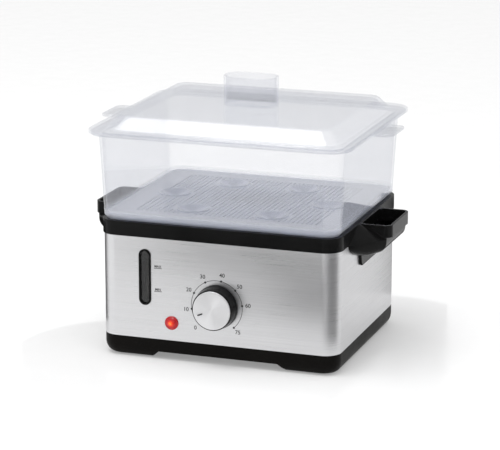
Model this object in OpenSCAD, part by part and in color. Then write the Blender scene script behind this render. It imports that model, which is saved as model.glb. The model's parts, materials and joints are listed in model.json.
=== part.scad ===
// Table-top egg cooker: a water base in a steel wrap, a clear steam basket and a lid.
// The origin is the middle of the footprint, on the table. +X is right, -Y is the
// front with the timer knob, +Z is up. All sizes are in millimetres.

/* [Body] */
// Width of the steel body
body_w = 222; // [216:1:230]
// Depth of the steel body, front to back
body_d = 186; // [182:1:194]
// Radius of the body's upright corners
corner_r = 15; // [13:1:17]
// Height of the black base, from the table to the steel
base_h = 19; // [18:1:21]
// Clearance under the middle of the base
arch_h = 7; // [5:0.5:8]
// Height of the steel wrap
steel_h = 93; // [92:1:98]
// Thickness of the steel sheet
steel_t = 0.8; // [0.5:0.1:1]
// Height of the black collar above the steel
collar_h = 13; // [12:0.5:15]

/* [Handles] */
// How far each handle reaches past the steel
handle_out = 30; // [24:1:36]
// Width of a handle, front to back
handle_w = 62; // [50:1:66]
// Depth of the filler pocket below the collar
scoop_depth = 14.5; // [10:0.5:18]

/* [Basket and lid] */
// Height of the basket from the collar to its rim
basket_h = 77; // [60:1:90]
// Extra width of the basket's rim on each side
basket_flare = 4; // [2:0.5:5]
// Thickness of the clear moulded walls
wall = 2; // [1.6:0.1:2.2]
// How far the lid's rim stands out past the steel
rim_out = 11.5; // [10:0.5:13]
// Height of the lid's raised top above its rim
dome_h = 11.5; // [8:0.5:16]
// Length of the lid's oval grip
grip_w = 50; // [40:1:60]
// Height of the lid's oval grip
grip_h = 27; // [20:1:32]
// Diameter of one egg rest
egg_rest_d = 27; // [22:1:30]

/* [Controls] */
// Height of the timer's axis above the table
dial_z = 54.4; // [50:0.2:58]
// Diameter of the knob at its skirt
knob_d = 39.6; // [32:0.4:42]
// How far the knob's face stands out from the steel
knob_out = 14.2; // [12:0.2:16]
// Angle of the knob's pointer, clockwise from the top
pointer_angle = -112; // [-136:1:138]
// Place of the level window, left of the middle
window_x = -67.8; // [-72:0.2:-60]
// Place of the pilot lamp, left of the middle
lamp_x = -42.7; // [-48:0.1:-38]
// Height of the pilot lamp above the table
lamp_z = 35.3; // [33:0.1:38]

/* [Hidden] */
$fn = 64;
thin = 0.01;

steel_top = base_h + steel_h;
collar_top = steel_top + collar_h;
front_y = -body_d / 2;

// Base
base_bottom = 0.8;
base_wall = 2.5;
foot_inset = 6.5;
arch_half = 56;
pad_x = 84;
pad_y = 66;
post_x = body_w / 2 - 14;
post_y = body_d / 2 - 14;
screw_r = 1.5;

// Collar, drip tray and the seats for what is stacked on them
collar_proud = 1.2;
collar_w = body_w + 2 * collar_proud;
collar_d = body_d + 2 * collar_proud;
seat_w = body_w - 12;
seat_d = body_d - 12;
seat_z = collar_top - 5.5;
well_w = body_w - 40;
well_d = body_d - 38;

// Water tank
tank_wall = 2;
tank_step_z = 86;
tank_floor_z = 32;
lower_w = 172;
lower_d = 120;
lower_y = 14;
port_z = 103;
port_h = 9;
port_w = 40;

// Heater
plate_r = 40;
plate_z = 33.5;
stud_ring_r = 36;

// Basket and lid
spigot_w = body_w - 23;
spigot_d = body_d - 23;
spigot_z = collar_top - 3;
tray_z = collar_top + 4;
tray_t = 1.8;
rim_z = collar_top + basket_h;
rim_t = 2.5;
lid_z = rim_z + rim_t;
lid_t = 2;
lid_w = body_w + 2 * rim_out;
lid_d = body_d + 2 * rim_out;
lid_r = corner_r + 7;
dome_foot = 14;
dome_inset = 24;
dome_top = lid_z + lid_t + dome_h;
tab_x = body_w / 2 + 27.5;
tab_w = 44;
grip_d = 30;

// Level gauge
window_z = 75.5;
window_w = 11.4;
window_h = 51.6;
gauge_y = front_y + 9;
gauge_bottom = 36;
gauge_top = 106;
float_top = 76.5;
float_len = 24;

// Places of the six eggs, front pair, side pair and back pair
egg_places = [[-37, -52], [37, -52], [-74, 0], [74, 0], [-34, 50], [34, 50]];

// ---------------------------------------------------------------- outlines

// Rectangle with round corners, centred on the origin
module outline(w, d, r) {
    square([w - 2 * r, d], center = true);
    square([w, d - 2 * r], center = true);
    for (sx = [-1, 1], sy = [-1, 1])
        translate([sx * (w / 2 - r), sy * (d / 2 - r)])
            circle(r);
}

// Upright slot with round ends, centred on the origin
module stadium(w, h) {
    square([w, h - w], center = true);
    for (sy = [-1, 1])
        translate([0, sy * (h - w) / 2])
            circle(d = w);
}

// Solid plate between two heights
module slab(w, d, r, z0, z1) {
    translate([0, 0, z0])
        linear_extrude(z1 - z0)
            outline(w, d, r);
}

// Upright wall of thickness t between two heights
module ring_wall(w, d, r, t, z0, z1) {
    translate([0, 0, z0])
        linear_extrude(z1 - z0)
            difference() {
                outline(w, d, r);
                outline(w - 2 * t, d - 2 * t, r - t);
            }
}

// Solid that changes from one outline to another
module loft(w0, d0, r0, z0, w1, d1, r1, z1) {
    hull() {
        slab(w0, d0, r0, z0, z0 + thin, $fn = 40);
        slab(w1, d1, r1, z1 - thin, z1, $fn = 40);
    }
}

// Tube or rod along Z between two heights
module rod(r, z0, z1) {
    translate([0, 0, z0])
        cylinder(r = r, h = z1 - z0);
}

// Local frame on the front panel: X right, Y up, Z out towards the user
module on_front(x, z) {
    translate([x, front_y, z])
        rotate([90, 0, 0])
            children();
}

// Local frame on the back panel: Z out of the back
module on_back(x, z) {
    translate([x, body_d / 2, z])
        rotate([-90, 0, 0])
            children();
}

module at_corners(x, y) {
    for (sx = [-1, 1], sy = [-1, 1])
        translate([sx * x, sy * y, 0])
            children();
}

// Direction of the wire at point i, the mean of the runs on both sides
function heading(points, i) =
    let (a = points[max(i - 1, 0)], b = points[min(i + 1, len(points) - 1)])
    (b - a) / norm(b - a);

// Ring of eight points around point i, square to the wire
function wire_ring(points, i, r) =
    let (
        d = heading(points, i),
        side = abs(d[2]) > 0.9 ? [1, 0, 0] : [0, 0, 1],
        u = cross(d, side) / norm(cross(d, side)),
        v = cross(d, u)
    )
    [for (k = [0 : 7]) points[i] + r * (u * cos(45 * k) + v * sin(45 * k))];

// Wire through a list of points
module wire(points, r) {
    last = len(points) - 1;
    rings = [for (i = [0 : last]) each wire_ring(points, i, r)];
    walls = [for (i = [0 : last - 1], k = [0 : 7])
        [8 * i + k, 8 * i + (k + 1) % 8, 8 * i + 8 + (k + 1) % 8, 8 * i + 8 + k]];
    polyhedron(rings, concat([[for (k = [7 : -1 : 0]) k]], walls,
        [[for (k = [0 : 7]) 8 * last + k]]), convexity = 6);
}

// ---------------------------------------------------------------- base

// Outer form of the base, drawn in towards the table
module base_form() {
    hull() {
        slab(body_w, body_d, corner_r, base_h - 9, base_h, $fn = 40);
        slab(body_w - 4, body_d - 4, corner_r - 2, 4, 5, $fn = 40);
        slab(body_w - 2 * foot_inset, body_d - 2 * foot_inset, corner_r - 6,
            base_bottom, base_bottom + thin, $fn = 40);
    }
}

// Channel under the middle of the base, with sloping sides
module arch_channel() {
    rotate([90, 0, 0])
        linear_extrude(body_d + 20, center = true)
            polygon([[-arch_half - 9, -1], [arch_half + 9, -1], [arch_half, arch_h],
                [-arch_half, arch_h]]);
}

module base_tub() {
    lip_inset = 2 * (steel_t + 0.2);
    color("#141415")
        difference() {
            union() {
                base_form();
                ring_wall(body_w - lip_inset, body_d - lip_inset, corner_r - 1, 1.5,
                    base_h - 4, base_h + 4);
            }
            arch_channel();
            difference() {
                slab(body_w - 2 * base_wall, body_d - 2 * base_wall, corner_r - base_wall,
                    arch_h + 2.5, base_h + 10);
                at_corners(post_x, post_y)
                    rod(4.2, 0, base_h + 5);
            }
            for (sx = [-1, 1])
                translate([sx * (arch_half + 28), 0, 0])
                    slab(30, body_d - 60, 6, 3.3, arch_h + 3);
            at_corners(post_x, post_y) {
                rod(screw_r + 0.2, 0, base_h + 10);
                rod(3.6, 0, 5);
                rod(5, base_h + 5, base_h + 12);
            }
            at_corners(pad_x, pad_y)
                rod(7.2, 0, 2);
        }
}

module foot_pads() {
    color("#2a2a2a")
        at_corners(pad_x, pad_y)
            rod(7, 0, 2);
}

module base_screws() {
    color("#9a9c9e")
        at_corners(post_x, post_y)
            difference() {
                union() {
                    rod(3.2, 2.6, 5);
                    rod(screw_r, 5, 35);
                }
                for (turn = [0, 90])
                    rotate([0, 0, turn])
                        translate([-2, -0.4, 2])
                            cube([4, 0.8, 1.6]);
            }
}

// ---------------------------------------------------------------- steel wrap

module steel_wrap() {
    color("#c9cacc")
        difference() {
            ring_wall(body_w, body_d, corner_r, steel_t, base_h, steel_top);
            on_front(window_x, window_z)
                translate([0, 0, -4])
                    linear_extrude(8)
                        stadium(window_w - 1.6, window_h - 1.6);
            on_front(lamp_x, lamp_z)
                rod(5, -4, 4);
            on_front(0, dial_z)
                rod(4, -4, 4);
            for (sx = [-1, 1])
                on_front(sx * 14, dial_z)
                    rod(1.7, -4, 4);
            on_back(62, 34)
                rod(6.5, -4, 4);
            for (sx = [-1, 1])
                translate([sx * body_w / 2, 0, steel_top - 8])
                    cube([8, port_w + 6, 18], center = true);
        }
}

// ---------------------------------------------------------------- collar

// Plan of a handle's tray, reaching out along +X
module handle_plan(inset) {
    translate([body_w / 2 + handle_out / 2 - 6, 0])
        outline(handle_out + 12 - 2 * inset, handle_w - 2 * inset, 7 - inset);
}

// Slice of the pocket at height z: it reaches out from the steel between slanted ends
module pocket_slice(reach, long, short, z) {
    translate([body_w / 2 + 0.1, 0, z])
        linear_extrude(thin)
            polygon([[0, -long], [reach, -short], [reach, short], [0, long]]);
}

// Pocket below the collar, with slanted ends and a rounded underside
module scoop_form(inset) {
    reach = handle_out - 4 - inset;
    long = handle_w - 0.5 - 1.5 * inset;
    short = handle_w / 2 - 0.6 * inset;
    low = steel_top - scoop_depth + inset;
    hull() {
        pocket_slice(reach, long, short, steel_top - thin);
        pocket_slice(reach - 1, long - 5, short - 1, low + 7.5);
        pocket_slice(reach - 5.5, long - 13, short - 4, low + 3);
        pocket_slice(reach - 15, long - 23, short - 11, low);
    }
}

// Cheeks that run from the collar down to the pocket's upper edge
module scoop_cheeks() {
    hull() {
        pocket_slice(handle_out - 4, handle_w - 0.5, handle_w / 2, steel_top);
        translate([body_w / 2 - 1, -handle_w / 2 - 5, collar_top - 0.5 - thin])
            cube([4, handle_w + 10, thin]);
    }
}

// Tongue that lies on the steel below the pocket
module handle_tongue() {
    translate([body_w / 2 + 0.2, 0, 0])
        rotate([90, 0, 90])
            linear_extrude(2.4)
                polygon([[-31, steel_top - 12], [31, steel_top - 12], [27, steel_top - 26],
                    [25.5, steel_top - 27.4], [-25.5, steel_top - 27.4], [-27, steel_top - 26]]);
}

// Short duct that leads water from the pocket into the tank
module filler_duct(grow) {
    translate([body_w / 2 - 9, 0, port_z])
        cube([24, port_w + 2 * grow, port_h + 2 * grow], center = true);
}

// One handle: tray, pocket, tongue and duct, clipped on beside the collar
module handle_form() {
    difference() {
        union() {
            translate([0, 0, steel_top + 1.5])
                linear_extrude(collar_h - 2)
                    handle_plan(0);
            scoop_form(0);
            scoop_cheeks();
            handle_tongue();
            filler_duct(1.6);
        }
        translate([0, 0, steel_top + 3.7])
            linear_extrude(collar_h)
                intersection() {
                    handle_plan(2.2);
                    translate([body_w / 2 + 3, -handle_w / 2])
                        square([handle_out, handle_w]);
                }
        intersection() {
            scoop_form(2.2);
            translate([body_w / 2 + 3, -handle_w, 0])
                cube([handle_out, 2 * handle_w, 300]);
        }
        translate([body_w / 2 + 3, -handle_w / 2 + 2.2, steel_top - 1])
            cube([handle_out - 12, handle_w - 4.4, 8]);
        filler_duct(0);
        slab(collar_w, collar_d, corner_r + collar_proud, steel_top, 300);
    }
}

module handle_right() {
    color("#0e0e10")
        handle_form();
}

module handle_left() {
    color("#0e0e10")
        mirror([1, 0, 0])
            handle_form();
}

module top_collar() {
    skirt_inset = 2 * (steel_t + 0.25);
    color("#0e0e10")
        difference() {
            union() {
                difference() {
                    union() {
                        slab(collar_w, collar_d, corner_r + collar_proud, steel_top,
                            collar_top);
                        ring_wall(body_w - skirt_inset, body_d - skirt_inset,
                            corner_r - 1, 1.6, steel_top - 6, steel_top + 1);
                    }
                    slab(seat_w, seat_d, 11, seat_z, collar_top + 1);
                    slab(well_w, well_d, 16, steel_top - 10, collar_top + 1);
                    for (sx = [-1, 1])
                        translate([sx * body_w / 2, 0, steel_top - 5])
                            cube([8, port_w + 8, 10], center = true);
                }
                at_corners(post_x, post_y)
                    rod(4, base_h + 5.3, steel_top + 1);
            }
            at_corners(post_x, post_y)
                rod(screw_r + 0.05, base_h, 37);
        }
}

// ---------------------------------------------------------------- water tank

module lower_well(inset, z0, z1) {
    translate([0, lower_y, 0])
        slab(lower_w - 2 * inset, lower_d - 2 * inset, 14 - inset, z0, z1);
}

module water_tank() {
    color("#1b1b1d")
        difference() {
            union() {
                slab(well_w + 4, well_d + 4, 18, tank_step_z, steel_top);
                slab(well_w + 8, well_d + 8, 20, steel_top - 2, steel_top);
                lower_well(0, tank_floor_z - tank_wall, tank_step_z + 1);
            }
            slab(well_w, well_d, 16, tank_step_z + tank_wall, steel_top + 1);
            lower_well(tank_wall, tank_floor_z, tank_step_z + 3);
            translate([0, lower_y, 0])
                rod(31, 20, tank_floor_z + 1);
            for (turn = [30, 150, 270])
                translate([0, lower_y, 0])
                    rotate([0, 0, turn])
                        translate([stud_ring_r, 0, 0])
                            rod(2.1, 20, tank_floor_z + 1);
            translate([0, 0, port_z])
                cube([300, port_w + 4.2, port_h + 4.2], center = true);
            translate([window_x, gauge_y + 20, 42])
                rotate([-90, 0, 0])
                    cylinder(r = 2.7, h = 30);
        }
}

// ---------------------------------------------------------------- heater

module at_studs() {
    for (turn = [30, 150, 270])
        translate([0, lower_y, 0])
            rotate([0, 0, turn])
                translate([stud_ring_r, 0, 0])
                    children();
}

module heater_gasket() {
    color("#b8482f")
        difference() {
            translate([0, lower_y, 0])
                rod(plate_r - 0.5, tank_floor_z, plate_z);
            translate([0, lower_y, 0])
                rod(32, 0, 60);
            at_studs()
                rod(2.1, 0, 60);
        }
}

module heater_plate() {
    color("#b9bcc0") {
        translate([0, lower_y, plate_z])
            rotate_extrude()
                polygon([[0, 0], [plate_r, 0], [plate_r, 1.2], [31, 1.2], [28, 2.6], [0, 2.6]]);
        at_studs()
            rod(2, 23, plate_z + 0.5);
    }
}

module heater_element() {
    color("#8d8f92")
        translate([0, lower_y, 0]) {
            translate([0, 0, plate_z - 3.4])
                rotate([0, 0, 20])
                    rotate_extrude(angle = 320)
                        translate([24, 0])
                            circle(3.3);
            for (turn = [20, 340])
                rotate([0, 0, turn])
                    translate([24, 0, 16])
                        cylinder(r = 2, h = plate_z - 19.4);
        }
}

module heater_bracket() {
    color("#a7a9ab")
        difference() {
            translate([0, lower_y, 0])
                rod(plate_r, tank_floor_z - 3.4, tank_floor_z - 2);
            translate([0, lower_y, 0])
                rod(30, 0, 60);
            at_studs()
                rod(2.1, 0, 60);
        }
}

module heater_nuts() {
    color("#c2c3c4")
        at_studs()
            difference() {
                translate([0, 0, tank_floor_z - 6.4])
                    cylinder(d = 8, h = 3, $fn = 6);
                rod(2.05, 0, 60);
            }
}

module thermostat() {
    color("#d8d4c8")
        translate([0, lower_y, 0]) {
            rod(9, 26, plate_z - 0.1);
            for (sx = [-1, 1])
                translate([sx * 5 - 0.4, -2.5, 19])
                    cube([0.8, 5, 7.5]);
        }
}

module thermal_fuse() {
    color("#e9e5da")
        translate([-22, lower_y - 34, 22])
            rotate([0, 90, 0])
                cylinder(r = 2.2, h = 13);
}

module terminal_block() {
    color("#e7e3d6")
        difference() {
            translate([36, 52, arch_h + 2.5])
                cube([32, 16, 13]);
            for (i = [0 : 2]) {
                translate([42 + 10 * i, 50, arch_h + 8])
                    rotate([-90, 0, 0])
                        cylinder(r = 1.8, h = 20);
                translate([42 + 10 * i, 56, arch_h + 8])
                    cylinder(r = 2.2, h = 12);
                translate([42 + 10 * i, 64, arch_h + 8])
                    cylinder(r = 2.2, h = 12);
            }
        }
}

// Leads from the terminal block to the timer, the lamp and the heater
module inner_wiring() {
    color("#c8362c") {
        wire([[42, 50, 15], [43, -30, 14], [20, -52, 15], [12, -64, 22], [10, -66, 31.5]], 1.1);
        wire([[52, 50, 15], [56, 20, 14], [46, -12, 13], [26.5, 3, 14.5], [22.7, 5.5, 15.8]], 1.1);
        wire([[-10, -66, 31.5], [-13, -60, 20], [-30, -64, 22], [-40, -67, 32]], 1.1);
        wire([[-9, -20, 22], [2, -10, 17], [5, 8, 16.5], [5, 13, 18.5]], 1.1);
        wire([[-22.5, -20, 22], [-34, -30, 19], [-30, -52, 16], [-46, -66, 24], [-45.5, -67, 32]],
            1.1);
    }
}

module cord_gland() {
    color("#161616")
        on_back(62, 34)
            difference() {
                union() {
                    rod(8, 0, 3);
                    rod(6.4, -2, 1);
                    rod(8, -5, -steel_t - 0.05);
                }
                rod(3.6, -8, 8);
            }
}

// ---------------------------------------------------------------- inside the tank

module steam_sleeve() {
    color("#2b2c2f")
        translate([0, lower_y, 0])
            difference() {
                union() {
                    rod(45.2, tank_floor_z, 74);
                    rod(46.5, 74, 76);
                }
                rod(43.2, 0, 72);
                rod(38, 0, 90);
                for (turn = [0 : 60 : 300])
                    rotate([0, 0, turn])
                        translate([40, -6, tank_floor_z - 1])
                            cube([10, 12, 7]);
            }
}

// Round-ended chimney that lets the steam up through the drip tray
module chimney(grow, z0, z1) {
    slab(64 + 2 * grow, 36 + 2 * grow, 16 + grow, z0, z1);
}

module drip_tray() {
    tray_floor = collar_top - 21;
    color("#3a3b3e")
        difference() {
            union() {
                slab(seat_w - 2, seat_d - 2, 10, seat_z, seat_z + 1.5);
                slab(well_w - 2, well_d - 2, 15, tray_floor, seat_z + 1);
            }
            difference() {
                slab(well_w - 2 - 2 * wall, well_d - 2 - 2 * wall, 13, tray_floor + 1.8,
                    collar_top);
                chimney(1.8, 0, collar_top - 8);
            }
            chimney(0, 0, collar_top);
        }
}

// ---------------------------------------------------------------- basket

// Outer width that the flared basket adds at height z
function flare_at(z) = 2 * basket_flare * (z - collar_top) / basket_h;

module basket_form(inset, z0, z1) {
    w = body_w - 1 - 2 * inset;
    d = body_d - 1 - 2 * inset;
    loft(w + flare_at(z0), d + flare_at(z0), corner_r - 1 - inset / 2, z0,
        w + flare_at(z1), d + flare_at(z1), corner_r + 2 - inset / 2, z1);
}

// Finger tabs on the left and right of the rim
module rim_tabs() {
    difference() {
        slab(2 * tab_x, tab_w, 7, rim_z, lid_z);
        slab(body_w, body_d, 5, rim_z - 1, lid_z + 1);
    }
    for (sx = [-1, 1])
        translate([sx * (body_w / 2 + 6), 0, 0])
            slab(16, tab_w + 12, 6, rim_z, lid_z);
}

// Ribs under the middle of each side, which keep the basket on the collar
module locating_ribs() {
    intersection() {
        slab(spigot_w, spigot_d, 9, spigot_z, collar_top + 1);
        union() {
            cube([110, 2 * body_d, 400], center = true);
            cube([2 * body_w, 80, 400], center = true);
        }
    }
}

module basket() {
    color("#dfe3ee", 0.45)
        difference() {
            union() {
                basket_form(0, collar_top, rim_z + 1);
                slab(lid_w - 4, lid_d - 4, lid_r - 2, rim_z, lid_z);
                rim_tabs();
                locating_ribs();
            }
            basket_form(wall, tray_z, lid_z + 2);
            slab(body_w - 30, body_d - 30, 8, spigot_z - 1, tray_z + 1);
            slab(spigot_w - 4, spigot_d - 4, 8, spigot_z - 1, collar_top + 1);
        }
}

// ---------------------------------------------------------------- egg tray

function near_egg(x, y, reach) =
    min([for (p = egg_places) norm([x - p[0], y - p[1]])]) < reach;

module egg_rest() {
    r = egg_rest_d / 2;
    translate([0, 0, tray_z])
        rotate_extrude()
            polygon([[4, -3], [5, -3], [r, 0], [r + 1.5, 0], [r + 1.5, 2.8], [r + 0.3, 2.8],
                [r - 1, 1.8], [5.2, -1.2], [4, -1.2]]);
}

module egg_tray() {
    pitch = 12;
    inset = 2 * (wall + 0.4);
    tray_w = body_w - 1 + flare_at(tray_z) - inset;
    tray_d = body_d - 1 + flare_at(tray_z) - inset;
    color("#c9c8e2", 0.7) {
        difference() {
            slab(tray_w, tray_d, corner_r - 3, tray_z, tray_z + tray_t);
            for (p = egg_places)
                translate([p[0], p[1], 0])
                    rod(egg_rest_d / 2 + 0.5, 0, 300);
            for (i = [-7 : 7], j = [-5 : 5])
                if (!near_egg(i * pitch, j * pitch, egg_rest_d / 2 + 4.5))
                    translate([i * pitch, j * pitch, 0])
                        rod(2.2, 0, 300);
        }
        for (p = egg_places)
            translate([p[0], p[1], 0])
                egg_rest();
    }
}

// ---------------------------------------------------------------- lid

module dome_form(inset, z0, z1) {
    loft(lid_w - 2 * (dome_foot + inset), lid_d - 2 * (dome_foot + inset), 14 - inset / 2, z0,
        lid_w - 2 * (dome_inset + inset), lid_d - 2 * (dome_inset + inset), 11 - inset / 2, z1);
}

module lid() {
    rib_w = body_w - 1 + flare_at(lid_z) - 2 * wall - 2.4;
    rib_d = body_d - 1 + flare_at(lid_z) - 2 * wall - 2.4;
    color("#e4e8f2", 0.4)
        difference() {
            union() {
                slab(lid_w, lid_d, lid_r, lid_z, lid_z + lid_t);
                ring_wall(lid_w, lid_d, lid_r, 1.4, lid_z - 1.5, lid_z + 1);
                ring_wall(rib_w, rib_d, 14, 1.5, lid_z - 3, lid_z + 1);
                dome_form(0, lid_z + lid_t - thin, dome_top);
            }
            dome_form(wall, lid_z - 1, dome_top - wall);
            cube([2 * lid_w, tab_w + 14, 2 * lid_z], center = true);
            for (i = [-1 : 1])
                translate([12 * i, 0, 0])
                    rod(2, lid_z, dome_top + 1);
        }
}

module lid_grip() {
    color("#dfe4f0", 0.4)
        ring_wall(grip_w, grip_d, 13.5, wall, dome_top, dome_top + grip_h);
}

// ---------------------------------------------------------------- level gauge

module window_bezel() {
    color("#08080a")
        on_front(window_x, window_z)
            difference() {
                union() {
                    linear_extrude(0.9)
                        stadium(window_w, window_h);
                    translate([0, 0, -3])
                        linear_extrude(3.5)
                            stadium(window_w - 1.8, window_h - 1.8);
                }
                translate([0, 0, -4])
                    linear_extrude(6)
                        stadium(window_w - 3.6, window_h - 3.6);
            }
}

module window_lens() {
    color("#3b3c3a", 0.6)
        on_front(window_x, window_z)
            translate([0, 0, -2.4])
                linear_extrude(2)
                    stadium(window_w - 3.7, window_h - 3.7);
}

module level_tube() {
    color("#d7dde0", 0.5)
        difference() {
            union() {
                translate([window_x, gauge_y, 0])
                    rod(5, gauge_bottom, gauge_top);
                translate([window_x, gauge_y, 42])
                    rotate([-90, 0, 0])
                        cylinder(r = 2.6, h = -gauge_y - 44);
            }
            translate([window_x, gauge_y, 0])
                rod(4.2, gauge_bottom + 1.5, gauge_top + 1);
            translate([window_x, gauge_y, 42])
                rotate([-90, 0, 0])
                    cylinder(r = 1.6, h = 60);
        }
}

module level_float() {
    color("#20201f")
        translate([window_x, gauge_y, 0])
            rod(3.85, float_top - float_len, float_top);
}

// ---------------------------------------------------------------- pilot lamp

module lamp_lens() {
    color("#c4141c", 0.9)
        on_front(lamp_x, lamp_z) {
            rod(6.3, 0, 1.2);
            translate([0, 0, 1.2])
                cylinder(r1 = 5.8, r2 = 2.4, h = 2.2, $fn = 8);
            rod(4.8, -6, 0);
        }
}

module lamp_holder() {
    color("#e8e2d0")
        on_front(lamp_x, lamp_z) {
            difference() {
                rod(7.5, -3, -steel_t - 0.05);
                rod(4.9, -10, 1);
            }
            rod(5.4, -22, -6.05);
            for (sx = [-1, 1])
                translate([sx * 2.8 - 0.4, -1.5, -24])
                    cube([0.8, 3, 2.5]);
        }
}

// ---------------------------------------------------------------- timer

module timer_case() {
    color("#cfc9b4")
        on_front(0, dial_z)
            difference() {
                union() {
                    rod(22, -34, -7);
                    rod(7, -7.5, -steel_t - 0.05);
                    translate([-18, -9, -3])
                        cube([36, 18, 3 - steel_t - 0.05]);
                    for (sx = [-1, 1])
                        translate([sx * 14, 0, 0])
                            rod(3.2, -7.5, -2);
                }
                rod(3.06, -32, 4);
                for (sx = [-1, 1])
                    translate([sx * 14, 0, 0])
                        rod(1.55, -10.5, 1);
            }
}

module timer_bell() {
    color("#c9ccd0")
        on_front(0, dial_z) {
            translate([0, 0, -41])
                rotate_extrude()
                    polygon([[0, 0], [14, 0], [20, 4], [20, 6], [18.8, 6], [13.4, 1.2], [0, 1.2]]);
            rod(2, -40, -34);
        }
}

module timer_screws() {
    color("#b5b7b9")
        for (sx = [-1, 1])
            on_front(sx * 14, dial_z) {
                rod(2.6, 0.02, 1.7);
                rod(screw_r, -9, 0.1);
            }
}

module timer_spindle() {
    color("#b9bcc0")
        on_front(0, dial_z)
            rod(3, -31.5, knob_out - 2.8);
}

// ---------------------------------------------------------------- knob

module knob() {
    r = knob_d / 2;
    h = knob_out;
    color("#0b0b0c")
        on_front(0, dial_z)
            rotate_extrude()
                polygon([[3, 2], [6, 2], [6, h - 3.7], [r - 3, h - 3.7], [r - 2, 1], [r, 1],
                    [r - 0.2, 3], [r - 1.5, h - 1], [r - 1.9, h - 0.6], [r - 2.2, h - 0.6],
                    [r - 2.2, h - 1.4], [0, h - 1.4], [0, h - 2.7], [3, h - 2.7]]);
}

module knob_cap() {
    r = knob_d / 2 - 2.3;
    h = knob_out;
    color("#dcdcde")
        on_front(0, dial_z)
            rotate_extrude()
                polygon([[0, h - 1.4], [r, h - 1.4], [r, h - 0.5], [r - 0.5, h], [0, h]]);
}

module knob_pointer() {
    color("#222222")
        on_front(0, dial_z)
            rotate([0, 0, -pointer_angle])
                translate([0, 11.5, knob_out])
                    linear_extrude(0.4)
                        stadium(1.2, 5);
}

base_tub();
foot_pads();
base_screws();
steel_wrap();
top_collar();
handle_right();
handle_left();
water_tank();
heater_gasket();
heater_plate();
heater_element();
heater_bracket();
heater_nuts();
thermostat();
thermal_fuse();
terminal_block();
inner_wiring();
cord_gland();
steam_sleeve();
drip_tray();
basket();
egg_tray();
lid();
lid_grip();
window_bezel();
window_lens();
level_tube();
level_float();
lamp_lens();
lamp_holder();
timer_case();
timer_bell();
timer_screws();
timer_spindle();
knob();
knob_cap();
knob_pointer();
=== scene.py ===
import json
import math

import bmesh
import bpy
from mathutils import Matrix, Vector

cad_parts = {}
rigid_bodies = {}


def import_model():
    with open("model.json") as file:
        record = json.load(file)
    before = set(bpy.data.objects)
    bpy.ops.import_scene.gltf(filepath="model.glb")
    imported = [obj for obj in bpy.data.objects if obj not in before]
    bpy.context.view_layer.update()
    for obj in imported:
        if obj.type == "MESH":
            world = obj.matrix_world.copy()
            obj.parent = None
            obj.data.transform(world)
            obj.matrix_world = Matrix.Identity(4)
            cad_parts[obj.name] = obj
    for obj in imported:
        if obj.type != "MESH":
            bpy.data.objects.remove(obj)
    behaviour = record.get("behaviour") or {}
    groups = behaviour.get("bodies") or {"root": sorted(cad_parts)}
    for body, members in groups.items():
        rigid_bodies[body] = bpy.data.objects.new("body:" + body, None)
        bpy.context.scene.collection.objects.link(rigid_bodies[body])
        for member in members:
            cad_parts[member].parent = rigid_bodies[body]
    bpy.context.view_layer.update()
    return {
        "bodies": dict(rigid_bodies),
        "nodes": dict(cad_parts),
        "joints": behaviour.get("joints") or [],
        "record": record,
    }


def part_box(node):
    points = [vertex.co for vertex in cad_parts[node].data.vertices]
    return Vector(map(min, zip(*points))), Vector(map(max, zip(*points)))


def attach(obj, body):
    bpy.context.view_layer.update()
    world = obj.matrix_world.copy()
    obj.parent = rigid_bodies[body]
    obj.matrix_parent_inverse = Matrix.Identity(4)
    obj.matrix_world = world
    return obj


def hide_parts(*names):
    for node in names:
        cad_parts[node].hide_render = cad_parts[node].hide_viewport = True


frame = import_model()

scene = bpy.context.scene
scene.view_settings.view_transform = "Standard"
metre = 0.001  # all lengths below are in millimetres
cornerSteps = 10  # straight stretches in each quarter turn of a rounded corner


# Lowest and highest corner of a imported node
def boxOf(node):
    low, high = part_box(node)
    return low / metre, high / metre


def linked(name, data):
    piece = bpy.data.objects.new(name, data)
    scene.collection.objects.link(piece)
    return piece


def fromShape(name, shape):
    mesh = bpy.data.meshes.new(name)
    shape.to_mesh(mesh)
    shape.free()
    return linked(name, mesh)


def meshPiece(name, points, faces):
    shape = bmesh.new()
    corners = [shape.verts.new(point) for point in points]
    for face in faces:
        shape.faces.new([corners[index] for index in face])
    bmesh.ops.remove_doubles(shape, verts=shape.verts, dist=1e-4)
    bmesh.ops.recalc_face_normals(shape, faces=shape.faces)
    bmesh.ops.scale(shape, vec=(metre, metre, metre), verts=shape.verts)
    return fromShape(name, shape)


# A rounded rectangle at height z, counter-clockwise from its front right corner.
# stops are extra points along the straight front and back.
def ring(width, depth, radius, z, stops=(), middle=(0, 0)):
    radius = min(radius, width / 2 - 0.001, depth / 2 - 0.001)
    points = []
    for turn, (signX, signY) in enumerate(((1, -1), (1, 1), (-1, 1), (-1, -1))):
        for step in range(cornerSteps + 1):
            angle = math.radians(90 * (turn - 1 + step / cornerSteps))
            points.append((signX * (width / 2 - radius) + radius * math.cos(angle),
                           signY * (depth / 2 - radius) + radius * math.sin(angle)))
        if turn == 1:
            points += [(x, depth / 2) for x in sorted(stops, reverse=True)]
        if turn == 3:
            points += [(x, -depth / 2) for x in sorted(stops)]
    return [(x + middle[0], y + middle[1], z) for x, y in points]


def flatRing(width, depth, radius, middle=(0, 0)):  # the same outline in two dimensions
    return [(x, y) for x, y, z in ring(width, depth, radius, 0, middle=middle)]


def circle(radius, z, count=64, turn=0.0):
    angles = [2 * math.pi * (k + turn) / count for k in range(count)]
    return [(radius * math.cos(angle), radius * math.sin(angle), z) for angle in angles]


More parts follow.
